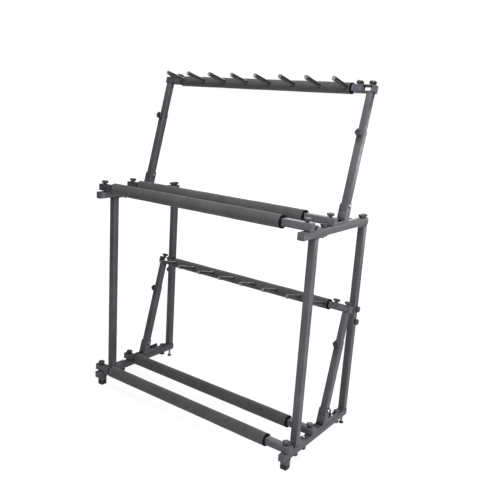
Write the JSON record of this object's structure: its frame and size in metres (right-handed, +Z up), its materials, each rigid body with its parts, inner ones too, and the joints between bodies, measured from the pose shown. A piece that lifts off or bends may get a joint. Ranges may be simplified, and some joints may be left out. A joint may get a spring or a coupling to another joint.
{
  "type": "racket display stand",
  "caption": "Free-standing two-tier racket stand: square-tube side frames joined by foam-padded crossbars, with folding telescoping arms that carry padded peg bars.",
  "frame": {"origin": "centre of the footprint on the floor", "axes": "+X to the stand's right seen from the front, +Y to the rear, +Z up"},
  "size_m": [0.943, 0.4376, 1.2631],
  "materials": {
    "powder_coated_steel": "satin black powder coat",
    "foam": "matt closed-cell foam",
    "knob_plastic": "fine-grained black plastic",
    "foot_rubber": "matt black rubber"
  },
  "bodies": {
    "frame": {"bottom_rail_left": "powder_coated_steel", "top_rail_left": "powder_coated_steel", "front_post_left": "powder_coated_steel", "rear_post_left": "powder_coated_steel", "front_foot_cap_left": "foot_rubber", "bottom_rail_right": "powder_coated_steel", "top_rail_right": "powder_coated_steel", "front_post_right": "powder_coated_steel", "rear_post_right": "powder_coated_steel", "front_foot_cap_right": "foot_rubber", "lower_front_crossbar": "powder_coated_steel", "lower_front_crossbar_sleeve": "foam", "lower_rear_crossbar": "powder_coated_steel", "lower_rear_crossbar_sleeve": "foam", "lower_hinge_bracket_left": "powder_coated_steel", "lower_hinge_bracket_right": "powder_coated_steel", "upper_front_crossbar": "powder_coated_steel", "upper_front_crossbar_sleeve": "foam", "upper_rear_crossbar": "powder_coated_steel", "upper_rear_crossbar_sleeve": "foam", "upper_hinge_bracket_left": "powder_coated_steel", "upper_hinge_bracket_right": "powder_coated_steel"},
    "lower_arms": {"lower_arm_outer_tube_left": "powder_coated_steel", "lower_arm_outer_tube_right": "powder_coated_steel"},
    "lower_rack": {"lower_arm_inner_tube_left": "powder_coated_steel", "lower_arm_inner_tube_right": "powder_coated_steel", "lower_arm_bracket_left": "powder_coated_steel", "lower_arm_bracket_right": "powder_coated_steel", "lower_peg_bar": "powder_coated_steel", "lower_peg_bar_sleeve": "foam"},
    "lower_front_crossbar_knob_left": {"lower_front_crossbar_knob_left": "knob_plastic"},
    "lower_rear_crossbar_knob_left": {"lower_rear_crossbar_knob_left": "knob_plastic"},
    "lower_height_knob_left": {"lower_height_knob_left": "knob_plastic"},
    "lower_bar_clamp_knob_left": {"lower_bar_clamp_knob_left": "knob_plastic"},
    "lower_bracket_knob_left": {"lower_bracket_knob_left": "knob_plastic"},
    "lower_front_crossbar_knob_right": {"lower_front_crossbar_knob_right": "knob_plastic"},
    "lower_rear_crossbar_knob_right": {"lower_rear_crossbar_knob_right": "knob_plastic"},
    "lower_height_knob_right": {"lower_height_knob_right": "knob_plastic"},
    "lower_bar_clamp_knob_right": {"lower_bar_clamp_knob_right": "knob_plastic"},
    "lower_bracket_knob_right": {"lower_bracket_knob_right": "knob_plastic"},
    "upper_arms": {"upper_arm_outer_tube_left": "powder_coated_steel", "upper_arm_outer_tube_right": "powder_coated_steel"},
    "upper_rack": {"upper_arm_inner_tube_left": "powder_coated_steel", "upper_arm_inner_tube_right": "powder_coated_steel", "upper_arm_bracket_left": "powder_coated_steel", "upper_arm_bracket_right": "powder_coated_steel", "upper_peg_bar": "powder_coated_steel", "upper_peg_bar_sleeve": "foam"},
    "upper_front_crossbar_knob_left": {"upper_front_crossbar_knob_left": "knob_plastic"},
    "upper_rear_crossbar_knob_left": {"upper_rear_crossbar_knob_left": "knob_plastic"},
    "upper_height_knob_left": {"upper_height_knob_left": "knob_plastic"},
    "upper_bar_clamp_knob_left": {"upper_bar_clamp_knob_left": "knob_plastic"},
    "upper_bracket_knob_left": {"upper_bracket_knob_left": "knob_plastic"},
    "upper_front_crossbar_knob_right": {"upper_front_crossbar_knob_right": "knob_plastic"},
    "upper_rear_crossbar_knob_right": {"upper_rear_crossbar_knob_right": "knob_plastic"},
    "upper_height_knob_right": {"upper_height_knob_right": "knob_plastic"},
    "upper_bar_clamp_knob_right": {"upper_bar_clamp_knob_right": "knob_plastic"},
    "upper_bracket_knob_right": {"upper_bracket_knob_right": "knob_plastic"},
    "rear_levelling_foot_left": {"rear_levelling_foot_left": "foot_rubber"},
    "rear_levelling_foot_right": {"rear_levelling_foot_right": "foot_rubber"}
  },
  "joints": [
    {"name": "lower_arms_fold", "type": "hinge", "parent": "frame", "child": "lower_arms", "pos_m": [0, 0.05475, 0.114], "axis": [1, 0, 0], "range_deg": [0, 35]},
    {"name": "lower_rack_height", "type": "slide", "parent": "lower_arms", "child": "lower_rack", "axis": [0, 0.2588, 0.9659], "range_m": [-0.07, 0.06]},
    {"name": "lower_front_crossbar_knob_left_turn", "type": "hinge", "parent": "frame", "child": "lower_front_crossbar_knob_left", "pos_m": [-0.44775, -0.19675, 0.0955], "axis": [0, 0, 1], "continuous": true},
    {"name": "lower_rear_crossbar_knob_left_turn", "type": "hinge", "parent": "frame", "child": "lower_rear_crossbar_knob_left", "pos_m": [-0.44775, -0.04419, 0.0955], "axis": [0, 0, 1], "continuous": true},
    {"name": "lower_height_knob_left_turn", "type": "hinge", "parent": "lower_arms", "child": "lower_height_knob_left", "pos_m": [-0.44775, 0.09188, 0.35303], "axis": [0, -0.9659, 0.2588], "continuous": true},
    {"name": "lower_bar_clamp_knob_left_turn", "type": "hinge", "parent": "lower_rack", "child": "lower_bar_clamp_knob_left", "pos_m": [-0.40175, 0.15543, 0.48974], "axis": [0, 0.2588, 0.9659], "continuous": true},
    {"name": "lower_bracket_knob_left_turn", "type": "hinge", "parent": "lower_rack", "child": "lower_bracket_knob_left", "pos_m": [-0.44775, 0.15543, 0.48974], "axis": [0, 0.2588, 0.9659], "continuous": true},
    {"name": "lower_front_crossbar_knob_right_turn", "type": "hinge", "parent": "frame", "child": "lower_front_crossbar_knob_right", "pos_m": [0.44775, -0.19675, 0.0955], "axis": [0, 0, 1], "continuous": true},
    {"name": "lower_rear_crossbar_knob_right_turn", "type": "hinge", "parent": "frame", "child": "lower_rear_crossbar_knob_right", "pos_m": [0.44775, -0.04419, 0.0955], "axis": [0, 0, 1], "continuous": true},
    {"name": "lower_height_knob_right_turn", "type": "hinge", "parent": "lower_arms", "child": "lower_height_knob_right", "pos_m": [0.44775, 0.09188, 0.35303], "axis": [0, -0.9659, 0.2588], "continuous": true},
    {"name": "lower_bar_clamp_knob_right_turn", "type": "hinge", "parent": "lower_rack", "child": "lower_bar_clamp_knob_right", "pos_m": [0.40175, 0.15543, 0.48974], "axis": [0, 0.2588, 0.9659], "continuous": true},
    {"name": "lower_bracket_knob_right_turn", "type": "hinge", "parent": "lower_rack", "child": "lower_bracket_knob_right", "pos_m": [0.44775, 0.15543, 0.48974], "axis": [0, 0.2588, 0.9659], "continuous": true},
    {"name": "upper_arms_fold", "type": "hinge", "parent": "frame", "child": "upper_arms", "pos_m": [0, 0.05475, 0.8515], "axis": [1, 0, 0], "range_deg": [0, 90]},
    {"name": "upper_rack_height", "type": "slide", "parent": "upper_arms", "child": "upper_rack", "axis": [0, 0.2588, 0.9659], "range_m": [-0.09, 0.037]},
    {"name": "upper_front_crossbar_knob_left_turn", "type": "hinge", "parent": "frame", "child": "upper_front_crossbar_knob_left", "pos_m": [-0.44775, -0.18775, 0.833], "axis": [0, 0, 1], "continuous": true},
    {"name": "upper_rear_crossbar_knob_left_turn", "type": "hinge", "parent": "frame", "child": "upper_rear_crossbar_knob_left", "pos_m": [-0.44775, -0.04419, 0.833], "axis": [0, 0, 1], "continuous": true},
    {"name": "upper_height_knob_left_turn", "type": "hinge", "parent": "upper_arms", "child": "upper_height_knob_left", "pos_m": [-0.44775, 0.09188, 1.09053], "axis": [0, -0.9659, 0.2588], "continuous": true},
    {"name": "upper_bar_clamp_knob_left_turn", "type": "hinge", "parent": "upper_rack", "child": "upper_bar_clamp_knob_left", "pos_m": [-0.40175, 0.16138, 1.24946], "axis": [0, 0.2588, 0.9659], "continuous": true},
    {"name": "upper_bracket_knob_left_turn", "type": "hinge", "parent": "upper_rack", "child": "upper_bracket_knob_left", "pos_m": [-0.44775, 0.16138, 1.24946], "axis": [0, 0.2588, 0.9659], "continuous": true},
    {"name": "upper_front_crossbar_knob_right_turn", "type": "hinge", "parent": "frame", "child": "upper_front_crossbar_knob_right", "pos_m": [0.44775, -0.18775, 0.833], "axis": [0, 0, 1], "continuous": true},
    {"name": "upper_rear_crossbar_knob_right_turn", "type": "hinge", "parent": "frame", "child": "upper_rear_crossbar_knob_right", "pos_m": [0.44775, -0.04419, 0.833], "axis": [0, 0, 1], "continuous": true},
    {"name": "upper_height_knob_right_turn", "type": "hinge", "parent": "upper_arms", "child": "upper_height_knob_right", "pos_m": [0.44775, 0.09188, 1.09053], "axis": [0, -0.9659, 0.2588], "continuous": true},
    {"name": "upper_bar_clamp_knob_right_turn", "type": "hinge", "parent": "upper_rack", "child": "upper_bar_clamp_knob_right", "pos_m": [0.40175, 0.16138, 1.24946], "axis": [0, 0.2588, 0.9659], "continuous": true},
    {"name": "upper_bracket_knob_right_turn", "type": "hinge", "parent": "upper_rack", "child": "upper_bracket_knob_right", "pos_m": [0.44775, 0.16138, 1.24946], "axis": [0, 0.2588, 0.9659], "continuous": true},
    {"name": "rear_levelling_foot_left_turn", "type": "hinge", "parent": "frame", "child": "rear_levelling_foot_left", "pos_m": [-0.44775, 0.20675, 0.01], "axis": [0, 0, 1], "continuous": true},
    {"name": "rear_levelling_foot_right_turn", "type": "hinge", "parent": "frame", "child": "rear_levelling_foot_right", "pos_m": [0.44775, 0.20675, 0.01], "axis": [0, 0, 1], "continuous": true}
  ]
}
